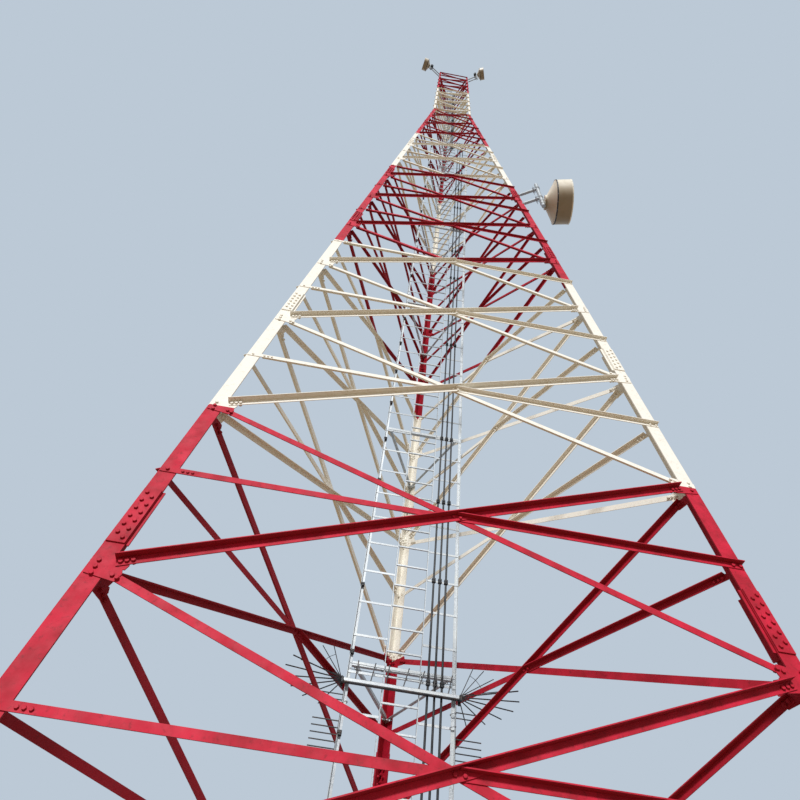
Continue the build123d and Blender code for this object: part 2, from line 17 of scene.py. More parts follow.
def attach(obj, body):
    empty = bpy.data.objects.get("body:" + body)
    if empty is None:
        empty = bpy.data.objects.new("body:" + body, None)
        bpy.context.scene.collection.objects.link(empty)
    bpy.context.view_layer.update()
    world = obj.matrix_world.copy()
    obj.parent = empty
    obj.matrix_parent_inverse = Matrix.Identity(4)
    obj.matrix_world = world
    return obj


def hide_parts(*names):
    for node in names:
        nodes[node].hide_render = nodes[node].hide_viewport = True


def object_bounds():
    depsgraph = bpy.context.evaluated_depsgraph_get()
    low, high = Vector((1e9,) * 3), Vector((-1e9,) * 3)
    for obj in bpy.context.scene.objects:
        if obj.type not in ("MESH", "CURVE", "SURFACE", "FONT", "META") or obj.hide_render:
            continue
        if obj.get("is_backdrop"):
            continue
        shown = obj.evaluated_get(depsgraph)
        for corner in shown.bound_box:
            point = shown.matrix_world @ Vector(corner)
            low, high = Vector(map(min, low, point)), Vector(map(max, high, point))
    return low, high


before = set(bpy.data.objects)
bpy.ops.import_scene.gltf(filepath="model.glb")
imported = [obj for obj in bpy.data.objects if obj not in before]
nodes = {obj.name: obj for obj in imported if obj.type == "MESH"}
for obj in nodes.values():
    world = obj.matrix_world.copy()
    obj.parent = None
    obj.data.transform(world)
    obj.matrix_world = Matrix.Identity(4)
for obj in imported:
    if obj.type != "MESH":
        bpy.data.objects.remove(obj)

cad_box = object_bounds()
low, high = ([round(value, 2) for value in corner] for corner in cad_box)
print(len(nodes), "solids from", low, "to", high)

# %% [markdown]
# ## Camera
#
# The photograph was taken from eye height, a few metres outside the front face, looking
# steeply up, so the legs run together like railway lines. A camera is a matrix: its first
# column points right in the picture, its second up and its third backwards. Its place,
# angles and focal length were fitted to the crossings of the front face. The small roll
# comes from a camera held by hand.

# %% Place the camera
EYE = Vector((-0.816, -8.564, 1.711))
YAW, PITCH, ROLL = 0.0524, 0.9169, 0.1332
FOCAL = 0.7106
SENSOR = 36

forward = Vector((sin(YAW) * cos(PITCH), cos(YAW) * cos(PITCH), sin(PITCH)))
level = Vector((cos(YAW), -sin(YAW), 0))
upward = level.cross(forward)
right = level * cos(ROLL) + upward * sin(ROLL)
upper = upward * cos(ROLL) - level * sin(ROLL)
lens = bpy.data.cameras.new("camera")
lens.sensor_width = SENSOR
lens.lens = SENSOR * FOCAL
lens.clip_end = 500
camera = bpy.data.objects.new("camera", lens)
turn = Matrix((right, upper, -forward)).transposed().to_4x4()
camera.matrix_world = Matrix.Translation(EYE) @ turn
bpy.context.scene.collection.objects.link(camera)
bpy.context.scene.camera = camera
bpy.context.scene.view_settings.view_transform = "Standard"
print("camera at", [round(v, 2) for v in camera.location], "lens", round(lens.lens, 1), "mm")

# %% [markdown]
# ## Colours and nodes
#
# Paint makers give colours as sRGB hex values, while the renderer works in linear light, so
# one function turns one into the other. A second small function adds a node to a material,
# with its settings and its links, and every material below is written with it.

# %% Helpers for materials
def paint_hex(value):
    """Linear colour of an sRGB hex value."""
    parts = [int(value[i:i + 2], 16) / 255 for i in (1, 3, 5)]
    linear = [p / 12.92 if p <= 0.04045 else ((p + 0.055) / 1.055) ** 2.4 for p in parts]
    return (*linear, 1.0)


def add_node(tree, kind, inputs=(), **settings):
    """Add a node; each input is (socket, value), and a socket as value becomes a link."""
    node = tree.nodes.new(kind)
    for name, value in settings.items():
        setattr(node, name, value)
    for name, value in dict(inputs).items():
        if isinstance(value, bpy.types.NodeSocket):
            tree.links.new(value, node.inputs[name])
        else:
            node.inputs[name].default_value = value
    return node


def new_material(name):
    """An empty material and its tree."""
    material = bpy.data.materials.new(name)
    material.use_nodes = True
    material.node_tree.nodes.clear()
    return material, material.node_tree


print("white paper in linear light:", paint_hex("#FFFFFF"))

# %% [markdown]
# ## Floor and light
#
# A mast this open is read against what is behind it. The white bands would vanish on a white
# page, so the floor and the backdrop are a pale blue grey. What is seen and what lights the
# object are kept apart with the Light Path node: the camera, and reflections in the steel,
# get the pale tone, while diffuse light comes dimly from all around, and warmer and darker
# from below, so that the shade stays deep and a little warm. The main lamp is a sun that
# stands 30 degrees high, behind the camera and to its left. Its disc is made wider than the
# real one, to soften the edges of the shadows as a studio lamp does.

# %% Floor
BACKDROP, FROM_BELOW = "#BCC9D6", "#B3A081"
FLOOR_HALF = 300
corners = [(a * FLOOR_HALF, b * FLOOR_HALF, 0) for a, b in ((-1, -1), (1, -1), (1, 1), (-1, 1))]
floor_mesh = bpy.data.meshes.new("floor")
floor_mesh.from_pydata(corners, [], [(0, 1, 2, 3)])
floor = bpy.data.objects.new("floor", floor_mesh)
bpy.context.scene.collection.objects.link(floor)
floor.location.z = -0.001
floor_material, tree = new_material("pale_floor")
rays = add_node(tree, "ShaderNodeLightPath").outputs
seen = add_node(
    tree, "ShaderNodeMath", {0: rays["Is Camera Ray"], 1: rays["Is Glossy Ray"]},
    operation="ADD", use_clamp=True,
)
tone = add_node(
    tree, "ShaderNodeMix", {0: seen.outputs[0], 6: paint_hex(FROM_BELOW), 7: paint_hex(BACKDROP)},
    data_type="RGBA",
)
matt = add_node(tree, "ShaderNodeBsdfDiffuse", {"Color": tone.outputs[2]})
add_node(tree, "ShaderNodeOutputMaterial", {"Surface": matt.outputs[0]})
floor_mesh.materials.append(floor_material)
floor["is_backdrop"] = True
print("floor", 2 * FLOOR_HALF, "m wide, seen as", BACKDROP)

# %% Light from all around
GLOW_STRENGTH = 0.32
world = bpy.data.worlds.new("studio")
world.use_nodes = True
bpy.context.scene.world = world
tree = world.node_tree
tree.nodes.clear()
rays = add_node(tree, "ShaderNodeLightPath").outputs
straight = add_node(
    tree, "ShaderNodeMath", {0: rays["Is Camera Ray"], 1: rays["Is Transmission Ray"]},
    operation="ADD", use_clamp=True,
)
seen = add_node(
    tree, "ShaderNodeMath", {0: straight.outputs[0], 1: rays["Is Glossy Ray"]},
    operation="ADD", use_clamp=True,
)
glow = add_node(
    tree, "ShaderNodeBackground", {"Color": (1, 1, 1, 1), "Strength": GLOW_STRENGTH},
)
page = add_node(tree, "ShaderNodeBackground", {"Color": paint_hex(BACKDROP), "Strength": 1.0})
both = add_node(
    tree, "ShaderNodeMixShader", {0: seen.outputs[0], 1: glow.outputs[0], 2: page.outputs[0]},
)
add_node(tree, "ShaderNodeOutputWorld", {"Surface": both.outputs[0]})
print("glow strength", GLOW_STRENGTH)

# %% Main lamp
SUN = Vector((-0.24, -0.84, 0.50)).normalized()
SUN_ENERGY, SUN_WIDTH = 3.0, 9
sun_data = bpy.data.lights.new("sun", "SUN")
sun_data.energy = SUN_ENERGY
sun_data.angle = radians(SUN_WIDTH)
sun = bpy.data.objects.new("sun", sun_data)
sun.rotation_euler = SUN.to_track_quat("Z", "Y").to_euler()
bpy.context.scene.collection.objects.link(sun)
print("sun", SUN_ENERGY, "W/m2 from", [round(value, 2) for value in SUN])

# %% [markdown]
# ## Painted steel
#
# The bands are alkyd enamel, brushed over galvanised angles. Brushing leaves a fine unevenness
# a few millimetres wide. Sun chalks the red on the sides that face it, in patches as big as a
# hand, and rain carries dirt into the rest. The brighter tone on those sides is stronger than
# chalking alone would make it, to come near the contrast of the photograph, so it is partly
# painted light: sides that face the sun are painted brighter and the others darker. Enamel
# has an IOR of about 1.5, and years outdoors leave it nearly dull.

# %% Enamel
# Each enamel: body, a brighter sunny tone that is chalk and painted light, and dirt.
RED = ("#9C0820", "#EE2048", "#5A0B12")
WHITE = ("#F4F1E8", "#F8F7F2", "#CFC2AC")
BAND_TOPS = [6.0, 11.088, 17.099, 22.0, 28.0, 33.25, 38.4]


def add_enamel(tree, place, tones):
    """Enamel colour from three tones: body, chalk with painted light on the sunny side, dirt."""
    body, chalk_and_painted_light, dirt = (paint_hex(value) for value in tones)
    # Painted light: faces that look towards the sun take the brighter tone, in patches.
    painted_light_facing = add_node(tree, "ShaderNodeVectorMath", {
        0: add_node(tree, "ShaderNodeNewGeometry").outputs["Normal"], 1: SUN,
    }, operation="DOT_PRODUCT")
    hand = add_node(tree, "ShaderNodeTexNoise", {"Vector": place, "Scale": 6.0, "Detail": 4.0})
    sunny_painted_light = add_node(
        tree, "ShaderNodeMath", {0: painted_light_facing.outputs["Value"], 1: hand.outputs[0]},
        operation="MULTIPLY",
    )
    patch = add_node(tree, "ShaderNodeMapRange", {
        "Value": sunny_painted_light.outputs[0], "From Min": 0.2, "From Max": 0.6, "To Max": 0.6,
    })
    worn = add_node(
        tree, "ShaderNodeMix", {0: patch.outputs[0], 6: body, 7: chalk_and_painted_light}, data_type="RGBA",
    )
    grain = add_node(tree, "ShaderNodeTexNoise", {
        "Vector": place, "Scale": 26.0, "Detail": 7.0, "Roughness": 0.68,
    })
    spots = add_node(tree, "ShaderNodeMapRange", {
        "Value": grain.outputs[0], "From Min": 0.54, "From Max": 0.76, "To Max": 0.7,
    })
    soiled = add_node(
        tree, "ShaderNodeMix", {0: spots.outputs[0], 6: worn.outputs[2], 7: dirt}, data_type="RGBA",
    )
    return soiled.outputs[2]


def finish_enamel(tree, place, tint):
    """Gloss, brush marks and output for a colour of enamel."""
    marks = add_node(tree, "ShaderNodeTexNoise", {"Vector": place, "Scale": 260.0, "Detail": 2.0})
    brushed = add_node(tree, "ShaderNodeBump", {"Height": marks.outputs[0], "Distance": 0.0005})
    sheen = add_node(tree, "ShaderNodeTexNoise", {"Vector": place, "Scale": 11.0, "Detail": 4.0})
    gloss = add_node(tree, "ShaderNodeMapRange", {
        "Value": sheen.outputs[0], "From Min": 0.3, "From Max": 0.7, "To Min": 0.62, "To Max": 0.74,
    })
    coat = add_node(tree, "ShaderNodeBsdfPrincipled", {
        "Base Color": tint, "Roughness": gloss.outputs[0], "IOR": 1.5, "Specular IOR Level": 0.38,
        "Normal": brushed.outputs[0],
    })
    add_node(tree, "ShaderNodeOutputMaterial", {"Surface": coat.outputs[0]})


def enamel(name, tones):
    """Brushed enamel in one colour."""
    material, tree = new_material(name)
    place = add_node(tree, "ShaderNodeTexCoord").outputs["Object"]
    finish_enamel(tree, place, add_enamel(tree, place, tones))
    return material


red_enamel, white_enamel = enamel("red_enamel", RED), enamel("white_enamel", WHITE)
print("red in linear light:", [round(value, 3) for value in paint_hex(RED[0])[:3]])

# %% [markdown]
# Splice plates and their bolts run over the whole mast, so their enamel is chosen by height.
# A colour ramp with constant steps is 1 in the red bands and 0 in the white ones.

# %% Enamel that changes with height
RAMP_TOP = 40.0
banded_enamel, tree = new_material("banded_enamel")
place = add_node(tree, "ShaderNodeTexCoord").outputs["Object"]
height = add_node(tree, "ShaderNodeSeparateXYZ", {0: place}).outputs["Z"]
share = add_node(tree, "ShaderNodeMath", {0: height, 1: RAMP_TOP}, operation="DIVIDE")
steps = add_node(tree, "ShaderNodeValToRGB", {"Fac": share.outputs[0]})
steps.color_ramp.interpolation = "CONSTANT"
for number, start in enumerate([0.0] + BAND_TOPS[:-1]):
    stops = steps.color_ramp.elements
    stop = stops[number] if number < len(stops) else stops.new(start / RAMP_TOP)
    stop.position = start / RAMP_TOP
    stop.color = (0, 0, 0, 1) if number % 2 else (1, 1, 1, 1)
tint = add_node(tree, "ShaderNodeMix", {
    0: steps.outputs["Color"], 6: add_enamel(tree, place, WHITE), 7: add_enamel(tree, place, RED),
}, data_type="RGBA")
finish_enamel(tree, place, tint.outputs[2])
print("bands end at", BAND_TOPS)

# %% [markdown]
# The bands take turns in red and white, with red at the foot. The frame has one solid for
# each side and band, so a band is painted by giving each of its solids one finish. Colour by
# height would do it too, but this way each bar keeps one colour to its very end.

# %% Paint the bands
def band_of(z):
    """Number of the paint band at height z, from 1, with 10 mm of play at its top."""
    return next(i for i, top in enumerate(BAND_TOPS, start=1) if z <= top + 0.01)


def dress(node, material):
    """Give a carried-over solid one finish."""
    slots = nodes[node].material_slots
    for slot in slots:
        slot.material = material
    if not slots:
        nodes[node].data.materials.append(material)


for number in range(1, 8):
    for group in ("legs", "front_bracing", "right_bracing", "left_bracing"):
        dress(f"{group}_{number}", red_enamel if number % 2 else white_enamel)
dress("base_plates", red_enamel)
dress("leg_splices", banded_enamel)
print("painted", len(BAND_TOPS), "bands of legs and bracing")

# %% [markdown]
# ## Bare zinc, dark steel with painted shade, and rubber
#
# The ladder, racks and dish mounts are hot-dip galvanised and left bare. Zinc freezes in
# crystals about a centimetre across, so its tone shifts from grain to grain. The climbing
# guard's spikes are a dark grey that stands for the shade they are seen in, so their colour is
# painted shade. Feeder cables have a black polyethylene sheath, dull and smooth, and the dishes
# a cream enamel baked on aluminium.

# %% Galvanised steel
galvanised, tree = new_material("galvanised")
place = add_node(tree, "ShaderNodeTexCoord").outputs["Object"]
crystals = add_node(tree, "ShaderNodeTexVoronoi", {"Vector": place, "Scale": 85.0})
grain = add_node(tree, "ShaderNodeSeparateColor", {0: crystals.outputs["Color"]})
spangle = add_node(tree, "ShaderNodeMix", {
    0: grain.outputs[0], 6: paint_hex("#A2A7AB"), 7: paint_hex("#C6CACC"),
}, data_type="RGBA")
cloud = add_node(tree, "ShaderNodeTexNoise", {"Vector": place, "Scale": 5.0, "Detail": 4.0})
dulled = add_node(tree, "ShaderNodeMapRange", {
    "Value": cloud.outputs[0], "From Min": 0.45, "From Max": 0.7,
})
tint = add_node(tree, "ShaderNodeMix", {
    0: dulled.outputs[0], 6: spangle.outputs[2], 7: paint_hex("#BCBFBE"),
}, data_type="RGBA")
gloss = add_node(tree, "ShaderNodeMapRange", {
    "Value": grain.outputs[0], "To Min": 0.44, "To Max": 0.58,
})
ripple = add_node(tree, "ShaderNodeTexNoise", {"Vector": place, "Scale": 90.0, "Detail": 3.0})
uneven = add_node(tree, "ShaderNodeBump", {"Height": ripple.outputs[0], "Distance": 0.0004})
metal = add_node(tree, "ShaderNodeBsdfPrincipled", {
    "Base Color": tint.outputs[2], "Metallic": 0.6, "Roughness": gloss.outputs[0],
    "Normal": uneven.outputs[0],
})
add_node(tree, "ShaderNodeOutputMaterial", {"Surface": metal.outputs[0]})
bare = (
    "ladder", "left_cable_rack", "right_cable_rack", "upper_ladder", "ladder_brackets",
    "upper_brackets", "dish_mount", "left_outrigger", "right_outrigger",
)
for node in bare:
    dress(node, galvanised)
print("left bare:", ", ".join(bare))

# %% [markdown]
# Spikes, cable sheaths, dishes and radio cases have plain coats, which differ in their tones,
# gloss and grain, so one function makes them all. On the dishes the sides that face down are
# painted darker, which is painted shade. How dark it is here is a guess, since the photograph
# shows only that the lower part is dark.

# %% Dark steel, sheath and dish finishes
def plain_coat(name, base, worn, rough, scale, bump, under=None):
    """Plain coat in two near tones with a fine surface, and painted shade on the sides facing down.
    """
    material, tree = new_material(name)
    place = add_node(tree, "ShaderNodeTexCoord").outputs["Object"]
    cloud = add_node(tree, "ShaderNodeTexNoise", {"Vector": place, "Scale": scale, "Detail": 5.0})
    patch = add_node(tree, "ShaderNodeMapRange", {
        "Value": cloud.outputs[0], "From Min": 0.48, "From Max": 0.7,
    })
    tint = add_node(
        tree, "ShaderNodeMix", {0: patch.outputs[0], 6: paint_hex(base), 7: paint_hex(worn)},
        data_type="RGBA",
    )
    # Painted shade: sides that face down are mixed towards the colour given as under.
    if under:
        painted_light_facing = add_node(tree, "ShaderNodeSeparateXYZ", {
            0: add_node(tree, "ShaderNodeNewGeometry").outputs["Normal"],
        })
        painted_shade_down = add_node(tree, "ShaderNodeMapRange", {
            "Value": painted_light_facing.outputs[2], "From Min": -0.1, "From Max": -0.8, "To Max": 0.85,
        })
        tint = add_node(
            tree, "ShaderNodeMix", {0: painted_shade_down.outputs[0], 6: tint.outputs[2], 7: paint_hex(under)},
            data_type="RGBA",
        )
    gloss = add_node(tree, "ShaderNodeMapRange", {
        "Value": cloud.outputs[0], "To Min": rough - 0.1, "To Max": rough + 0.1,
    })
    fine = add_node(tree, "ShaderNodeTexNoise", {"Vector": place, "Scale": 220.0, "Detail": 3.0})
    uneven = add_node(tree, "ShaderNodeBump", {"Height": fine.outputs[0], "Distance": bump})
    coat = add_node(tree, "ShaderNodeBsdfPrincipled", {
        "Base Color": tint.outputs[2], "Roughness": gloss.outputs[0], "IOR": 1.5,
        "Normal": uneven.outputs[0],
    })
    add_node(tree, "ShaderNodeOutputMaterial", {"Surface": coat.outputs[0]})
    return material


# The dark steel is painted shade on the guard's spikes, its flat and the dishes' rim bands.
dark_steel = plain_coat("dark_steel", "#1B1A1C", "#4A3A32", 0.5, 14.0, 0.0005)
cable_sheath = plain_coat("cable_sheath", "#111113", "#262627", 0.45, 9.0, 0.0003)
# The dishes' sides that face down are painted darker, as painted shade.
dish_enamel = plain_coat("dish_enamel", "#F2ECDC", "#E0D8C4", 0.42, 6.0, 0.0003, "#7D6A50")
cover_sheet = plain_coat("cover_sheet", "#F1EFE6", "#E6E3D8", 0.6, 4.0, 0.0004)
radio_enamel = plain_coat("radio_enamel", "#3A3C3E", "#4C4E50", 0.5, 12.0, 0.0003)
for node, material in (
    ("guard_spikes", dark_steel), ("guard_combs", dark_steel), ("feeder_cables", cable_sheath),
    ("dish_back", dish_enamel), ("dish_shroud", dish_enamel), ("dish_cover", cover_sheet),
    ("left_dish", dish_enamel), ("right_dish", dish_enamel),
    ("left_radio", radio_enamel), ("right_radio", radio_enamel),
):
    dress(node, material)

# %% [markdown]
# ## Setting out the small pieces
#
# Bolts sit where the steel is, so the lesson repeats the mast's own setting out: three equal
# faces, leaning inward up to the waist and upright above it. A place on a face is given by
# how far across, how far up the slope and how far out from the leg's surface it is.

# %% The faces
PANEL, PANELS, TOP_BAY, TOP_BAYS = 2.0, 14, 1.04, 10
BASE_WIDTH, WAIST_WIDTH, WAIST_Z, TOP_Z = 5.95, 1.61, 28.0, 38.4
FIRST_NODE_Z = 0.26
LEG_SIZES = [  # up to this height: flange, thickness
    (12.6, 0.165, 0.014), (20.6, 0.150, 0.012), (28.0, 0.130, 0.012), (38.4, 0.095, 0.010),
]
BRACE_SIZES = [  # up to this panel: rising diagonal, falling one and horizontal, thickness
    (3, 0.070, 0.060, 0.008), (6, 0.065, 0.055, 0.007), (10, 0.055, 0.050, 0.006),
    (14, 0.050, 0.045, 0.006),
]
TOP_BRACE, TOP_BRACE_T, GUSSET_T, SPLICE_T, SEAT = 0.050, 0.005, 0.008, 0.012, 0.0003
AXIS_Y = 0.07 - BASE_WIDTH / sqrt(3)
TAPER = (BASE_WIDTH - WAIST_WIDTH) / WAIST_Z
LEAN = TAPER / (2 * sqrt(3))


def mast_width(z):
    """Distance between two legs' heels at height z."""
    return max(WAIST_WIDTH, BASE_WIDTH - TAPER * z)


def row_at(table, value):
    """Sizes that hold at this height or panel."""
    return next(row[1:] for row in table if value <= row[0] + 1e-6)


def spin_about_axis(angle):
    """Matrix that turns something round the mast's axis, by degrees."""
    return (
        Matrix.Translation((0, AXIS_Y, 0)) @ Matrix.Rotation(radians(angle), 4, "Z")
        @ Matrix.Translation((0, -AXIS_Y, 0))
    )


def face_frames():
    """Matrices from a face's own axes (across, up, out) to the mast, one below the waist and
    one above it, for each face."""
    frames = []
    for angle in (0, 120, 240):
        spin = spin_about_axis(angle)
        out = Vector((0, -1, LEAN)).normalized()
        across = Vector((1, 0, 0))
        low = Matrix((across, out.cross(across), out)).transposed().to_4x4()
        low.translation = (0, AXIS_Y - BASE_WIDTH / (2 * sqrt(3)), 0)
        high = Matrix((across, Vector((0, 0, 1)), Vector((0, -1, 0)))).transposed().to_4x4()
        high.translation = (0, AXIS_Y - WAIST_WIDTH / (2 * sqrt(3)), WAIST_Z)
        frames.append((spin @ low, spin @ high))
    return frames


FACES = face_frames()


def up_slope(z):
    """Distance up the leaning face that reaches height z, or above the waist on the upper one."""
    return z * sqrt(1 + LEAN**2) if z <= WAIST_Z else z - WAIST_Z


def panel_ends(panel):
    """Heights of a panel's lower and upper nodes."""
    return max(FIRST_NODE_Z, (panel - 1) * PANEL), panel * PANEL


def crossing(panel):
    """Height where the panel's diagonals cross."""
    low, high = panel_ends(panel)
    flange = row_at(LEG_SIZES, low + 0.001)[0]
    wide, narrow = mast_width(low) - flange, mast_width(high) - flange
    return low + (high - low) * wide / (wide + narrow)


print("faces", len(FACES), "crossing of panel 3 at", round(crossing(3), 3))

# %% [markdown]
# ## Shapes
#
# Small pieces are skins through rings of points. A bolt head, a chamfered clamp block, a
# turned dish and a flat plate are all rings stacked along Z; a wire or a cable carries one
# ring along a path.

# %% Rings and skins
def ring(radius, height, sides, turn=0.0):
    """Points of a regular polygon at a height."""
    return [
        (radius * cos(turn + 2 * pi * i / sides), radius * sin(turn + 2 * pi * i / sides), height)
        for i in range(sides)
    ]


def skin(rings, closed=False):
    """Skin through rings of equal point counts, capped at both ends or closed on itself."""
    sides, count = len(rings[0]), len(rings)
    verts = [tuple(point) for one in rings for point in one]
    faces = [
        (r * sides + i, r * sides + (i + 1) % sides,
         (r + 1) % count * sides + (i + 1) % sides, (r + 1) % count * sides + i)
        for r in range(count if closed else count - 1)
        for i in range(sides)
    ]
    if not closed:
        faces.append(tuple(reversed(range(sides))))
        faces.append(tuple((count - 1) * sides + i for i in range(sides)))
    return verts, faces


def joined(*shapes):
    """One shape from several."""
    verts, faces = [], []
    for more_verts, more_faces in shapes:
        start = len(verts)
        verts += more_verts
        faces += [tuple(start + i for i in face) for face in more_faces]
    return verts, faces


def moved(shape, matrix):
    """The shape carried by a matrix."""
    return [tuple(matrix @ Vector(point)) for point in shape[0]], shape[1]


def stamped(stamps):
    """One shape from (shape, matrix) pairs."""
    verts, faces, start = [], [], 0
    for (shape_verts, shape_faces), matrix in stamps:
        grid = np.array(matrix, float)
        verts.append(np.array(shape_verts) @ grid[:3, :3].T + grid[:3, 3])
        faces += [tuple(start + i for i in face) for face in shape_faces]
        start += len(shape_verts)
    return np.concatenate(verts).tolist(), faces


def plate(outline, low, high):
    """Flat plate with the given outline between two heights."""
    area = sum(a[0] * b[1] - b[0] * a[1] for a, b in zip(outline, outline[1:] + outline[:1]))
    points = outline if area > 0 else outline[::-1]
    return skin([[(x, y, z) for x, y in points] for z in (low, high)])


def block(long, wide, high, cut):
    """Block with its upright and top edges chamfered, standing on z = 0."""
    def level(a, b, z):
        return [
            (a - cut, -b, z), (a, cut - b, z), (a, b - cut, z), (a - cut, b, z),
            (cut - a, b, z), (-a, b - cut, z), (-a, cut - b, z), (cut - a, -b, z),
        ]
    a, b = long / 2, wide / 2
    return skin([level(a, b, 0), level(a, b, high - cut), level(a - cut / 2, b - cut / 2, high)])


def rod(points, radius, sides=8):
    """Round bar or cable along a path."""
    points = [Vector(point) for point in points]
    runs = [(b - a).normalized() for a, b in zip(points, points[1:])]
    along = [runs[0]] + [(a + b).normalized() for a, b in zip(runs, runs[1:])] + [runs[-1]]
    side = along[0].orthogonal().normalized()
    rings = []
    for point, run in zip(points, along):
        side = (side - run * side.dot(run)).normalized()
        other = run.cross(side)
        rings.append([
            point + (side * cos(2 * pi * i / sides) + other * sin(2 * pi * i / sides)) * radius
            for i in range(sides)
        ])
    return skin(rings)


def new_piece(name, shape, material, smooth=False):
    """Object on the mast from a shape."""
    mesh = bpy.data.meshes.new(name)
    mesh.from_pydata(shape[0], [], shape[1])
    mesh.materials.append(material)
    if smooth:
        mesh.shade_smooth()
        mesh.set_sharp_from_angle(angle=radians(35))
    piece = bpy.data.objects.new(name, mesh)
    bpy.context.scene.collection.objects.link(piece)
    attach(piece, "root")
    return piece


print("shapes ready")

# %% [markdown]
# ## Bolts
#
# A tower like this is nothing but bolts: hexagon heads with a round washer outside, and a
# nut with a short end of thread inside. One bolt of each size is made as a small shape and
# stamped at every hole, which keeps sizes true: M20 heads are 30 mm across the flats, M16
# 24 mm and M12 18 mm. Each paint band gets its own piece, since bolts are painted with it.

# %% A bolt
def bolt_head(flats):
    """Hexagon head on its washer, standing on z = 0."""
    corner, high, thick = flats / sqrt(3), 0.42 * flats, 0.1 * flats
    washer = skin([ring(0.6 * flats, 0, 12), ring(0.6 * flats, thick, 12)])
    head = skin([
        ring(corner, thick, 6), ring(corner, thick + 0.85 * high, 6),
        ring(0.86 * corner, thick + high, 6),
    ])
    return joined(washer, head)


def bolt_nut(flats):
    """Washer, nut and end of thread, standing on z = 0."""
    corner, high, thick = flats / sqrt(3), 0.52 * flats, 0.1 * flats
    washer = skin([ring(0.6 * flats, 0, 12), ring(0.6 * flats, thick, 12)])
    nut = skin([ring(corner, thick, 6, 0.3), ring(corner, thick + high, 6, 0.3)])
    thread = skin([ring(0.31 * flats, thick + high, 8), ring(0.31 * flats, thick + 1.4 * high, 8)])
    return joined(washer, nut, thread)


M20, M16, M12 = ((bolt_head(flats), bolt_nut(flats)) for flats in (0.030, 0.024, 0.018))
INWARD = Matrix.Rotation(pi, 4, "X")
HIGHEST_BOLT = 38.3
bolt_places = {band: [] for band in range(1, 8)}


def put_bolt(bolt, face, x, v, outer, inner):
    """Head on the outer surface and nut on the inner one, at a place on a face."""
    head_at = face @ Matrix.Translation((x, v, outer))
    nut_at = face @ Matrix.Translation((x, v, inner)) @ INWARD
    band = bolt_places[band_of(min(head_at.translation.z, HIGHEST_BOLT))]
    band.append((bolt[0], head_at))
    band.append((bolt[1], nut_at))


def set_back(clear, bar, angle):
    """Distance along a bar at which its square end starts, 20 mm clear of the flange."""
    return (clear + 0.02 + bar / 2 * sin(angle)) / cos(angle)


print("bolt head", len(M20[0][0]), "points, nut", len(M20[1][0]))

# %% [markdown]
# A diagonal is bolted along the middle of its flat, clear of the flange that stands on its
# upper edge. The falling one lies under the gusset and the rising one on top of it, so their
# bolts have different grips. Three more bolts hold each gusset to the leg.

# %% Bolts of the crossed panels
END_DISTANCE, PITCH_ALONG, LEG_PITCH = 0.032, 0.042, 0.055
for panel in range(1, PANELS + 1):
    strong, light, thick = row_at(BRACE_SIZES, panel)
    low, high = panel_ends(panel)
    flange, leg_t = row_at(LEG_SIZES, low + 0.001)
    bolt = M20 if panel <= 6 else M16
    x_low, x_high = (mast_width(z) / 2 - flange / 2 for z in (low, high))
    v_low, v_high = up_slope(low), up_slope(high)
    angle = atan2(v_high - v_low, x_low + x_high)
    gusset_out = SEAT + GUSSET_T
    for low_face, _ in FACES:
        for bar, side in ((light, 1), (strong, -1)):
            outer, inner = (gusset_out, SEAT - thick) if side > 0 else (gusset_out + thick, SEAT)
            back = set_back(flange / 2, bar, angle)
            for i in range(3 if side < 0 and panel <= 10 else 2):
                d, off = back + END_DISTANCE + PITCH_ALONG * i, -0.004
                along = Vector((cos(angle), sin(angle))) * d
                across = Vector((-sin(angle), cos(angle))) * off
                foot = Vector((x_low, v_low)) + Vector((-along.x - across.x, along.y + across.y))
                head = Vector((x_high, v_high)) + Vector((-along.x + across.x, -along.y + across.y))
                put_bolt(bolt, low_face, side * foot.x, foot.y, outer, inner)
                put_bolt(bolt, low_face, -side * head.x, head.y, outer, inner)
        for side in (-1, 1):
            x = side * (mast_width(low) / 2 - flange / 2)
            for i in (-1, 0, 1):
                if panel > 1 or i >= 0:
                    v = v_low + LEG_PITCH * i + 0.01 * side
                    put_bolt(bolt, low_face, x, v, gusset_out, -leg_t)
print("bolts so far", sum(len(places) for places in bolt_places.values()) // 2)

# %% [markdown]
# The horizontal at each crossing has a gusset on the left leg, with one bolt into the leg and
# three into the bar, and laps straight over the right leg's flange, where two bolts hold it.
# Two more tie it to the crossed diagonals in the middle.

# %% Bolts of the horizontals at the crossings
for panel in range(1, PANELS + 1):
    thick = row_at(BRACE_SIZES, panel)[-1]
    z = crossing(panel)
    half, v = mast_width(z) / 2, up_slope(z)
    flange, leg_t = row_at(LEG_SIZES, z)
    bolt = M20 if panel <= 3 else M16
    for low_face, _ in FACES:
        put_bolt(bolt, low_face, -(half - flange / 2), v, gusset_out, -leg_t)
        for i in range(3):
            x = -(half - flange - 0.048 - PITCH_ALONG * i)
            put_bolt(M16, low_face, x, v - 0.003, gusset_out, SEAT + GUSSET_T - thick)
        for x in (half - 0.3 * flange, half - 0.72 * flange):
            put_bolt(bolt, low_face, x, v - 0.004, SEAT + thick, -leg_t)
        for x in (0.03, -0.03):
            put_bolt(M16, low_face, x, v - 0.004, gusset_out + thick, SEAT - thick)
print("bolts so far", sum(len(places) for places in bolt_places.values()) // 2)

# %% [markdown]
# Above the waist the faces stand upright and the bars are small, so M12 bolts will do. A
# horizontal has one at each end. A diagonal has two in a gusset at each end, and where there
# is room one more ties that gusset to the leg.

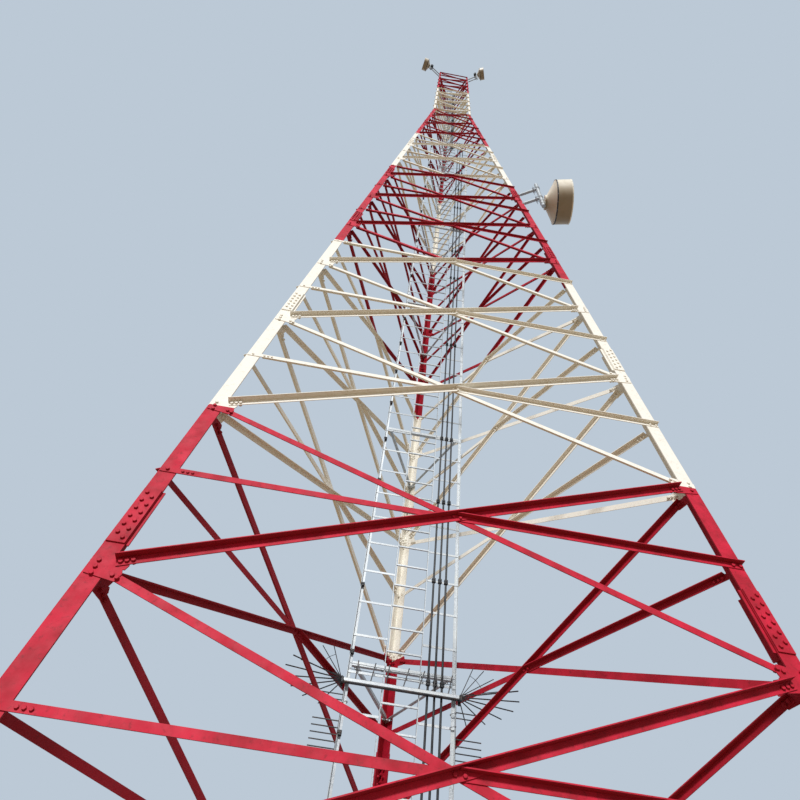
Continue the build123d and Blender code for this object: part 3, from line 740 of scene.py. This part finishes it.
# %% Bolts of the upright top
TOP_HALF, TOP_LEG_T = 0.0475, 0.010
top_x = WAIST_WIDTH / 2 - TOP_HALF
for bay in range(TOP_BAYS + 1):
    v = TOP_BAYS * TOP_BAY - TOP_BRACE / 2 - 0.005 if bay == TOP_BAYS else bay * TOP_BAY
    v += TOP_BRACE / 2 + 0.005 if bay == 0 else 0.0
    for _, high_face in FACES:
        for side in (-1, 1):
            put_bolt(M12, high_face, side * top_x, v - 0.003, SEAT + TOP_BRACE_T, -TOP_LEG_T)

angle = atan2(TOP_BAY, 2 * top_x)
back = set_back(TOP_HALF, TOP_BRACE, angle)
for bay in range(TOP_BAYS):
    foot_side = 1 if bay % 2 else -1
    for _, high_face in FACES:
        ends = (foot_side, bay * TOP_BAY, 1), (-foot_side, (bay + 1) * TOP_BAY, -1)
        for side, v, rise in ends:
            for d in (back + 0.014, back + 0.042):
                x, up = side * (top_x - d * cos(angle)), v + rise * d * sin(angle)
                put_bolt(M12, high_face, x, up, SEAT + GUSSET_T, SEAT - TOP_BRACE_T)
            if 0 < v < TOP_BAYS * TOP_BAY:
                x, up = side * top_x, v + rise * 0.046
                put_bolt(M12, high_face, x, up, SEAT + GUSSET_T, -TOP_LEG_T)
print("bolts so far", sum(len(places) for places in bolt_places.values()) // 2)

# %% [markdown]
# ## Leg splices
#
# The legs are joined above every second node with a plate outside each flange, already in
# the frame, and a second one inside, which shows as a dark edge past the flange. Twelve
# staggered bolts go through the three of them.

# %% Splices
SPLICE_START, SPLICE_LENGTH, INNER_T = 0.22, 0.56, 0.0100
inner_plates = []
for node in range(2, PANELS, 2):
    low = node * PANEL + SPLICE_START
    flange, leg_t = row_at(LEG_SIZES, low + SPLICE_LENGTH)
    bolt = M20 if flange > 0.14 else M16
    under = -leg_t - (INNER_T + SEAT)
    near, far = 0.062, flange + 0.022
    for low_face, _ in FACES:
        for side in (-1, 1):
            for i in range(12):
                z = low + 0.045 + i * 0.0425
                across = 0.022 + (flange - 0.026) * (0.3 if i % 2 else 0.72)
                x = side * (mast_width(z) / 2 - across)
                put_bolt(bolt, low_face, x, up_slope(z), SEAT + SPLICE_T, under)
            outline = [
                (side * (mast_width(z) / 2 - across), up_slope(z))
                for z, across in (
                    (low, near), (low + SPLICE_LENGTH, near), (low + SPLICE_LENGTH, far), (low, far)
                )
            ]
            inner_plates.append((plate(outline, under, -leg_t - SEAT), low_face))
new_piece("inner_splice_plates", stamped(inner_plates), banded_enamel)
print("inner plates", len(inner_plates))

# %% [markdown]
# Every bolt as an object of its own would be slow to handle. All the bolts of a band have its
# paint, so they are one mesh.

# %% One piece of bolts for each band

for band, places in bolt_places.items():
    painted, slot = (
        (red_enamel, "red_paint") if band % 2 else (white_enamel, "white_paint")
    )
    new_piece(f"bolts_{band}", stamped(places), painted)
print("bolts by band:", {band: len(places) // 2 for band, places in bolt_places.items()})

# %% [markdown]
# ## Ladder, racks and cables
#
# Three feeder cables climb the right rack, turn in to the narrow ladder and go on to the top.
# Each is a round sheath, bent gently where the route turns, with a row of black clamp blocks
# every 1.35 m. The left rack is held together by dark cuffs on its outer rail.

# %% Feeder cables
LADDER_DEPTH, UPPER_DEPTH, LADDER_HIGH, FEEDER_TURN_Z = 1.45, 0.62, 24.3, 26.0
FEEDERS = [(0.320, 0.130), (0.405, 0.172), (0.490, 0.214)]
CABLE_R = 0.0139
CABLE_FRONT = 0.016 - 0.004 - 0.014 * TAPER / sqrt(3) - SEAT - 0.014
CABLE_UPPER = 0.020 - SEAT - 0.014


def ladder_y(z, depth=LADDER_DEPTH):
    """Y of the ladder's plane at height z."""
    return AXIS_Y + mast_width(z) / sqrt(3) - depth


def bent(points, reach, steps=6):
    """The path with each corner rounded."""
    points = [Vector(point) for point in points]
    path = [points[0]]
    for before, corner, after in zip(points, points[1:], points[2:]):
        a = corner + (before - corner).normalized() * min(reach, (before - corner).length / 3)
        b = corner + (after - corner).normalized() * min(reach, (after - corner).length / 3)
        for t in (step / steps for step in range(steps + 1)):
            path.append(a.lerp(corner, t).lerp(corner.lerp(b, t), t))
    return path + [points[-1]]


cables = []
for low_x, high_x in FEEDERS:
    cables.append(rod(bent([
        (low_x, ladder_y(0.4) + CABLE_FRONT, 0.402),
        (low_x, ladder_y(LADDER_HIGH) + CABLE_FRONT, LADDER_HIGH),
        (high_x, ladder_y(FEEDER_TURN_Z, UPPER_DEPTH) + CABLE_UPPER, FEEDER_TURN_Z),
        (high_x, ladder_y(WAIST_Z, UPPER_DEPTH) + CABLE_UPPER, WAIST_Z),
        (high_x, ladder_y(TOP_Z, UPPER_DEPTH) + CABLE_UPPER, TOP_Z - 0.702),
    ], 0.3), CABLE_R, 14))
sheaths = new_piece("feeder_sheaths", joined(*cables), cable_sheath, smooth=True)
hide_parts("feeder_cables")
print("cable skin", len(sheaths.data.polygons), "faces")

# %% Clamp blocks
TO_FRONT = Matrix.Rotation(pi / 2, 4, "X")
CLAMP_HIGH = 0.042
UPPER_CLAMPS = [26.0] + [28.36 + 2.08 * step for step in range(5)]
clamp = joined(
    block(0.050, 0.070, CLAMP_HIGH, 0.007), moved(M12[0], Matrix.Translation((0, 0, CLAMP_HIGH))),
)
clamps = [
    (clamp, Matrix.Translation((x, ladder_y(z) + 0.012, z)) @ TO_FRONT)
    for z in np.arange(1.05, LADDER_HIGH - 0.3, 1.35) for x, _ in FEEDERS
]
clamps += [
    (clamp, Matrix.Translation((x, ladder_y(z, UPPER_DEPTH) + 0.020, z + 0.02)) @ TO_FRONT)
    for z in UPPER_CLAMPS for _, x in FEEDERS
]
new_piece("cable_clamps", stamped(clamps), cable_sheath)
print("clamps", len(clamps))

# %% Cuffs of the left rack
OUTER_RAIL = 0.6365
cuff = joined(
    moved(block(0.052, 0.054, 0.050, 0.006), Matrix.Translation((0, 0, -0.025))),
    *(moved(M12[0], Matrix.Translation((dx, -0.027, 0)) @ TO_FRONT) for dx in (-0.014, 0.014)),
)
cuffs = [
    (cuff, Matrix.Translation((-OUTER_RAIL, ladder_y(z), z)))
    for z in np.arange(0.825, LADDER_HIGH - 0.2, 0.9)
]
new_piece("rail_cuffs", stamped(cuffs), dark_steel)
print("cuffs", len(cuffs))

# %% [markdown]
# Bars and struts carry the racks and the ladder from the faces of the mast. Each rail is
# bolted down to its bar, and each strut has a bolt at both ends. These ends can't be seen in
# the photograph, so the bolts simply follow the solids.

# %% Bracket bolts
HALF_RAIL, HALF_BAR = 0.0225, 0.025
bracket_bolts = []
for panel in range(1, 12, 2):
    z = crossing(panel) + 0.150
    bar_y = ladder_y(z) + HALF_RAIL + SEAT + HALF_BAR
    for x in (-0.637, -0.24, 0.24, 0.637):
        bracket_bolts.append((M12[0], Matrix.Translation((x, bar_y + 0.004, z + 0.005))))
        bracket_bolts.append((M12[1], Matrix.Translation((x, bar_y + 0.004, z)) @ INWARD))
    for side in (-1, 1):
        for x, y in ((0.56, bar_y + 0.018), (0.035, ladder_y(z) + LADDER_DEPTH - 0.165)):
            bracket_bolts.append((M16[0], Matrix.Translation((side * x, y, z + 0.005))))
            bracket_bolts.append((M16[1], Matrix.Translation((side * x, y, z - 0.010)) @ INWARD))
new_piece("bracket_bolts", stamped(bracket_bolts), galvanised)
print("bracket bolts", len(bracket_bolts) // 2)

# %% [markdown]
# ## Climbing guard
#
# The guard is a bright bar across the racks on a dark flat, with thin leaning posts, two
# strands of wire and a dark hub at each end that carries the fan of spikes. The dark flat under
# the bar is painted shade: it stands for the shadow on the bar's underside. The long spikes
# are solids of the frame, and the short upward ones are made here. The posts are rods of
# 14 mm, so that they read as lines from far below.

# %% Guard bar, posts and wires
GUARD_Z, GUARD_HALF, GUARD_TOP = 4.96, 0.7053, 5.22
GUARD_LONG, GUARD_WIDE, WIRE_R, WIRE_HALF = 1.40, 0.050, 0.003, 0.64
POSTS = [
    (-0.55, 0.01), (-0.37, 0.04), (-0.19, 0.03), (0.02, 0.06), (0.20, 0.07), (0.38, 0.03),
    (0.56, 0.05),
]
guard_y = ladder_y(GUARD_Z + 0.025) - HALF_RAIL - SEAT - 0.025
bar_shape = block(GUARD_LONG, GUARD_WIDE, 0.038, 0.005)
bar = new_piece(
    "guard_bar", moved(bar_shape, Matrix.Translation((0, guard_y, 4.947))),
    galvanised,
)
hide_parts("guard_frame")
# Painted shade: a dark flat under the bar stands for the shadow on its underside.
painted_shade_flat_shape = block(GUARD_LONG, GUARD_WIDE, 0.012, 0.002)
painted_shade_flat = moved(painted_shade_flat_shape, Matrix.Translation((0, guard_y, 4.935)))
posts = [
    rod([(x, guard_y, 4.98), (x + lean, guard_y, GUARD_TOP)], 0.007, 6) for x, lean in POSTS
]
strands = [
    rod([(-WIRE_HALF, guard_y, z), (0.0, guard_y, z - 0.012), (WIRE_HALF, guard_y, z)], WIRE_R, 6)
    for z in (5.105, 5.175)
]
new_piece("guard_posts", joined(painted_shade_flat, *posts, *strands), dark_steel)
print("guard bar at", round(guard_y, 3), "posts", len(posts))

# %% Guard hubs and upward spikes
wires = []
for side in (-1, 1):
    tips = []
    for i, lift in enumerate((18, 34, 50, 66)):
        foot = Vector((side * GUARD_HALF, guard_y - 0.04 + 0.03 * i, GUARD_Z + 0.02))
        run = Vector((side * cos(radians(lift)), 0.18 - 0.12 * i, sin(radians(lift)))).normalized()
        tips.append(foot + run * 0.30)
        wires.append(rod([foot, foot + run * (0.56 - 0.05 * i)], 0.005, 6))
    wires.append(rod(bent(tips, 0.05, 3), WIRE_R, 6))
    for dy, dz, wide in ((-0.045, -0.045, 0.040), (0.0, -0.030, 0.050), (0.045, -0.060, 0.036)):
        spot = Vector((side * (GUARD_HALF - 0.002), guard_y + dy, GUARD_Z + dz))
        wires.append(moved(block(0.034, wide, 0.062, 0.008), Matrix.Translation(spot)))
new_piece("guard_hubs", joined(*wires), dark_steel)
print("hub parts", len(wires))

# %% [markdown]
# Near the guard the outer rails carry small bright rings. Each is a round bar along a tilted
# circle, made like the wires. What they are for can't be read in the photograph.

# %% Rings on the outer rails
RING_R, RING_TILT = 0.034, 0.012
loop = [
    Vector((RING_R * cos(t), RING_R * sin(t), RING_TILT * cos(t)))
    for t in np.linspace(0, 2 * pi, 17)
]
clips = []
for side, drop in ((1, 0.16), (1, 0.30), (-1, 0.22)):
    spot = Vector((side * OUTER_RAIL, ladder_y(GUARD_Z - drop), GUARD_Z - drop))
    clips.append(moved(rod(loop, 0.007, 6), Matrix.Translation(spot)))
new_piece("guard_clips", joined(*clips), galvanised)
print("rings", len(clips))

# %% [markdown]
# ## Dishes
#
# Each dish is turned like a pot: a cone behind, a drum round the rim and a slightly crowned
# cover in front. Bands with small bolts close both seams. A turned profile is a list of
# (radius, distance along the axis), and the whole dish is then laid on its side. A spin
# modifier could turn it too, but rings of points give the seams their exact gaps.

# %% A dish from its profiles
TO_SIDE = Matrix.Rotation(pi / 2, 4, "Y")


def turned(profile, hollow=True, sides=96):
    """Skin turned about Z through (radius, height) points, open in the middle or capped."""
    return skin([ring(radius, height, sides) for radius, height in profile], closed=hollow)


BAND_PITCH = 0.17


def dish_parts(radius, depth):
    """The cone, drum, cover, bands and bolts of a dish that faces up."""
    hub, neck = 0.34 * radius, 0.1 * radius
    rim, wall = neck + 0.34 * radius, 0.004
    front = rim + depth
    inside = radius - wall - SEAT
    cone = turned([
        (0.004, 0), (hub - 0.006, 0), (hub, 0.006), (hub, neck - 0.006), (hub + 0.006, neck),
        (inside - 0.01, rim - 0.004), (inside, rim), (inside, rim + 0.006), (0.004, rim + 0.006),
    ], hollow=False)
    drum = turned([
        (radius - wall, rim - wall), (radius - 0.001, rim - wall), (radius, rim - wall + 0.001),
        (radius, front - 0.001), (radius - 0.001, front), (radius - wall, front),
    ])
    cover = turned([
        (0.004, front - 0.03), (inside, front - 0.03), (inside, front - 0.016),
        (0.75 * radius, front - 0.008), (0.4 * radius, front - 0.002), (0.004, front - 0.0005),
    ], hollow=False)
    seams = ((rim + 0.012, 0.015), (front - 0.013, 0.012))
    inner, mid, outer = radius + SEAT, radius + 0.003, radius + 0.005
    rim_band_painted_shadow, front_band = (
        turned([
            (inner, z - half), (mid, z - half), (outer, z - half + 0.003),
            (outer, z + half - 0.003), (mid, z + half), (inner, z + half),
        ])
        for z, half in seams
    )
    count = int(round(2 * pi * radius / BAND_PITCH))
    small = TO_SIDE @ Matrix.Scale(0.6, 4)
    bolts = stamped([
        (M12[0], Matrix.Rotation(2 * pi * i / count, 4, "Z")
         @ Matrix.Translation((outer, 0, z)) @ small)
        for i in range(count) for z, _ in seams
    ] + [
        (M12[0], Matrix.Rotation(pi / 4 + pi / 2 * i, 4, "Z")
         @ Matrix.Translation((0.78 * hub, 0, 0)) @ INWARD)
        for i in range(4)
    ])
    return {
        "cone": cone, "drum": drum, "cover": joined(cover, front_band), "band": rim_band_painted_shadow,
        "bolts": bolts,
    }


print("band bolts every", BAND_PITCH, "m")

# %% [markdown]
# An upright pipe outside a leg holds each dish. Its place follows from the leg's bearing
# round the mast's axis, the height of the pipe's lower arm and its reach from the leg, which
# are the values that the frame was built with.

# %% Where the pipes stand
def pipe_at(leg, z, reach):
    """Centre of a pipe outside a front leg, from the height of its lower arm and its reach."""
    out = Vector((cos(radians(leg)), sin(radians(leg)), 0))
    return Vector((0, AXIS_Y, 0)) + out * (mast_width(z) / sqrt(3) + reach)


LARGE_ARMS, SMALL_ARMS = (15.75, 16.45), (36.98, 37.76)
DISHES = [  # name, leg's bearing, lower arm, reach, pipe radius, height, heading, radius, depth
    ("large", -30, LARGE_ARMS[0], 0.400, 0.045, 15.40, -12, 0.500, 0.360),
    ("left", -150, SMALL_ARMS[0], 0.650, 0.030, 37.40, 190, 0.300, 0.230),
    ("right", -30, SMALL_ARMS[0], 0.520, 0.030, 38.15, -20, 0.300, 0.230),
]
for name, leg, arm_z, reach, *_ in DISHES:
    print(name, "pipe at", [round(value, 2) for value in pipe_at(leg, arm_z, reach)])

# %% Turn the three dishes
for name, leg, arm_z, reach, pipe_r, z, heading, radius, depth in DISHES:
    turn = Matrix.Rotation(radians(heading), 4, "Z")
    centre = pipe_at(leg, arm_z, reach)
    back = Vector((centre.x, centre.y, z)) + turn @ Vector((pipe_r + SEAT, 0, 0))
    place = Matrix.Translation(back) @ turn @ TO_SIDE
    parts = {part: moved(shape, place) for part, shape in dish_parts(radius, depth).items()}
    cone, drum, cover = parts["cone"], parts["drum"], parts["cover"]
    if name == "large":
        cone = new_piece("large_dish_cone", cone, dish_enamel, smooth=True)
        drum = new_piece("large_dish_drum", drum, dish_enamel, smooth=True)
        cover = new_piece("large_dish_cover", cover, cover_sheet, smooth=True)
        for piece, node in ((cone, "dish_back"), (drum, "dish_shroud"), (cover, "dish_cover")):
            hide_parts(node)
    else:
        shape = joined(cone, drum, cover)
        bowl = new_piece(f"{name}_dish_bowl", shape, dish_enamel, smooth=True)
        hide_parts(f"{name}_dish")
    # The rim band is dark steel, a painted shadow where the drum's rim shades the cone.
    new_piece(f"{name}_dish_rim_band", parts["band"], dark_steel)
    new_piece(f"{name}_dish_bolts", parts["bolts"], galvanised)
    print(name, "dish at", [round(v, 2) for v in back])

# %% [markdown]
# ## Pipe clamps and saddles
#
# A pipe is gripped by U-bolts: a rod bent round it with two threaded legs and two nuts. The
# dish has a pair at its hub, and each arm has one at its end, tightened against a cross
# plate. The saddles on the leg take two bolts in each flange.

# %% U-bolts
def u_bolt(radius, leg, thick):
    """Rod bent round a pipe that stands on the origin, open to +X, with a nut on each leg."""
    arc = [(-radius * sin(pi * i / 8), -radius * cos(pi * i / 8), 0) for i in range(9)]
    bar = rod([(leg, -radius, 0)] + arc + [(leg, radius, 0)], thick, 8)
    nut = skin([ring(1.9 * thick, 0, 6), ring(1.9 * thick, 1.6 * thick, 6)])
    nuts = [
        moved(nut, Matrix.Translation((leg - 2.4 * thick, y, 0)) @ TO_SIDE)
        for y in (-radius, radius)
    ]
    return joined(bar, *nuts)


pipe_clamps = []
for name, leg, arm_z, reach, pipe_r, z, heading, radius, _ in DISHES:
    centre = pipe_at(leg, arm_z, reach)
    arms, thick, half = (
        (LARGE_ARMS, 0.006, 0.030) if name == "large" else (SMALL_ARMS, 0.005, 0.0225)
    )
    grip = u_bolt(pipe_r + thick, 0.62 * radius * 0.34 + pipe_r, thick)
    to_dish = Matrix.Rotation(radians(heading), 4, "Z")
    for lift in (-0.5, 0.5):
        spot = Vector((centre.x, centre.y, z + lift * 0.34 * radius))
        pipe_clamps.append((grip, Matrix.Translation(spot) @ to_dish))
    upright = TO_SIDE @ Matrix.Rotation(pi / 2, 4, "Z")
    plate_at = Matrix.Translation((pipe_r + 0.048, 0, 0)) @ upright
    cross = joined(
        u_bolt(pipe_r + thick, pipe_r + 0.075, thick),
        moved(block(0.1 + 2 * pipe_r, 2 * half, 0.008, 0.002), plate_at),
    )
    to_leg = Matrix.Rotation(radians(leg + 180), 4, "Z")
    for arm in arms:
        for lift in (-half - thick, half + thick):
            spot = Vector((centre.x, centre.y, arm + lift))
            pipe_clamps.append((cross, Matrix.Translation(spot) @ to_leg))
new_piece("pipe_clamps", stamped(pipe_clamps), galvanised)
print("pipe clamps", len(pipe_clamps))

# %% [markdown]
# Saddles join the arms to the legs. The large dish's upper one sits over a splice plate, so
# its bolts start further out than the others.

# %% Saddle bolts
OVER_SPLICE = SPLICE_T + 2 * SEAT
small_arms = tuple((z, SEAT) for z in SMALL_ARMS)
large_arms = ((LARGE_ARMS[0], SEAT), (LARGE_ARMS[1], OVER_SPLICE))
saddle_bolts = []
for faces, arms in (
    ((FACES[0], FACES[1]), large_arms + small_arms), ((FACES[2], FACES[0]), small_arms),
):
    for z, layer in arms:
        leg_t = row_at(LEG_SIZES, z)[1]
        for pair, side in zip(faces, (1, -1)):
            face = pair[0] if z < WAIST_Z else pair[1]
            for rise in (-0.028, 0.028):
                x, v = side * (mast_width(z) / 2 - 0.030), up_slope(z) + rise
                saddle_bolts.append((M12[0], face @ Matrix.Translation((x, v, layer + 0.008))))
                saddle_bolts.append((M12[1], face @ Matrix.Translation((x, v, -leg_t)) @ INWARD))
new_piece("saddle_bolts", stamped(saddle_bolts), galvanised)
print("saddle bolts", len(saddle_bolts) // 2)

# %% [markdown]
# ## Radio cases
#
# A small cast case sits behind each of the two top dishes, with cooling fins on the side away
# from the pipe, a carrying bail on top and two cable glands below.

# %% Finned cases
body = moved(block(0.240, 0.085, 0.300, 0.012), Matrix.Translation((0, 0.0225, -0.150)))
FIN_HALF, FIN_ROOT, FIN_TOP = 0.138, 0.002, 0.0015
fins = [
    plate([
        (x - FIN_TOP, -0.065), (x + FIN_TOP, -0.065), (x + FIN_ROOT, -0.02), (x - FIN_ROOT, -0.02),
    ], -FIN_HALF, FIN_HALF)
    for x in np.linspace(-0.105, 0.105, 14)
]
bail_path = [
    (x, 0.02, z) for x, z in ((-0.05, 0.146), (-0.05, 0.172), (0.05, 0.172), (0.05, 0.146))
]
bail = rod(bent(bail_path, 0.012, 4), 0.004, 8)
gland = skin([
    ring(0.014, 0, 6), ring(0.014, 0.016, 6), ring(0.010, 0.018, 6), ring(0.009, 0.034, 6),
])
glands = [moved(gland, Matrix.Translation((x, 0.02, -0.150)) @ INWARD) for x in (-0.05, 0.05)]
case = joined(body, bail, *fins, *glands)
for name, leg, arm_z, reach, pipe_r, z, heading, _, _ in DISHES[1:]:
    turn = Matrix.Rotation(radians(heading), 4, "Z")
    centre = pipe_at(leg, arm_z, reach)
    spot = Vector((centre.x, centre.y, z)) - turn @ Vector((pipe_r + SEAT + 0.065, 0, 0))
    place = Matrix.Translation(spot) @ Matrix.Rotation(radians(heading - 90), 4, "Z")
    radio = new_piece(f"{name}_radio_case", moved(case, place), radio_enamel)
    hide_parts(f"{name}_radio")
print("fins on each case", len(fins))

# %% [markdown]
# ## Feet
#
# The legs are welded to their plates. A fillet weld is a small bead, a little wavy, along the
# foot of each flange and rib. The feet are outside the photograph, so they follow common
# practice.

# %% Weld beads
def bead(start, end, radius=0.006):
    """Weld bead between two points, swelling a little at every run of the rod."""
    start, end = Vector(start), Vector(end)
    count = max(3, int((end - start).length / 0.009))
    run = (end - start).normalized()
    side = run.orthogonal().normalized()
    other = run.cross(side)
    rings = []
    for i in range(count + 1):
        point = start.lerp(end, i / count)
        swell = radius * (1.0 if i % 2 else 0.86)
        rings.append([
            point + (side * cos(pi / 3 * k) + other * sin(pi / 3 * k)) * swell for k in range(6)
        ])
    return skin(rings)


FOOT_T = 0.03
beads = []
flange, leg_t = row_at(LEG_SIZES, FOOT_T)
for angle in (0, 120, 240):
    spin = spin_about_axis(angle)
    heel = Vector((0, AXIS_Y + mast_width(FOOT_T) / sqrt(3), FOOT_T + 0.002))
    for side in (-1, 1):
        along = Vector((side * 0.5, -sqrt(3) / 2, 0))
        inner = Vector((-side * sqrt(3) / 2, -0.5, 0)) * leg_t
        beads.append(moved(bead(heel + along * 0.012, heel + along * flange), spin))
        beads.append(moved(bead(heel + along * 0.03 + inner, heel + along * flange + inner), spin))
        out = Vector((side * sqrt(3) / 2, 0.5, 0))
        root = heel + along * 0.110 + out * 0.004
        for shift in (-0.0062, 0.0062):
            foot = root + along * shift
            beads.append(moved(bead(foot, foot + out * 0.120, 0.004), spin))
new_piece("foot_welds", joined(*beads), red_enamel, smooth=True)
print("beads", len(beads))

# %% Print the visual box of the finished mast
low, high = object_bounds()
print("visual box", [round(v, 3) for v in low], [round(v, 3) for v in high])
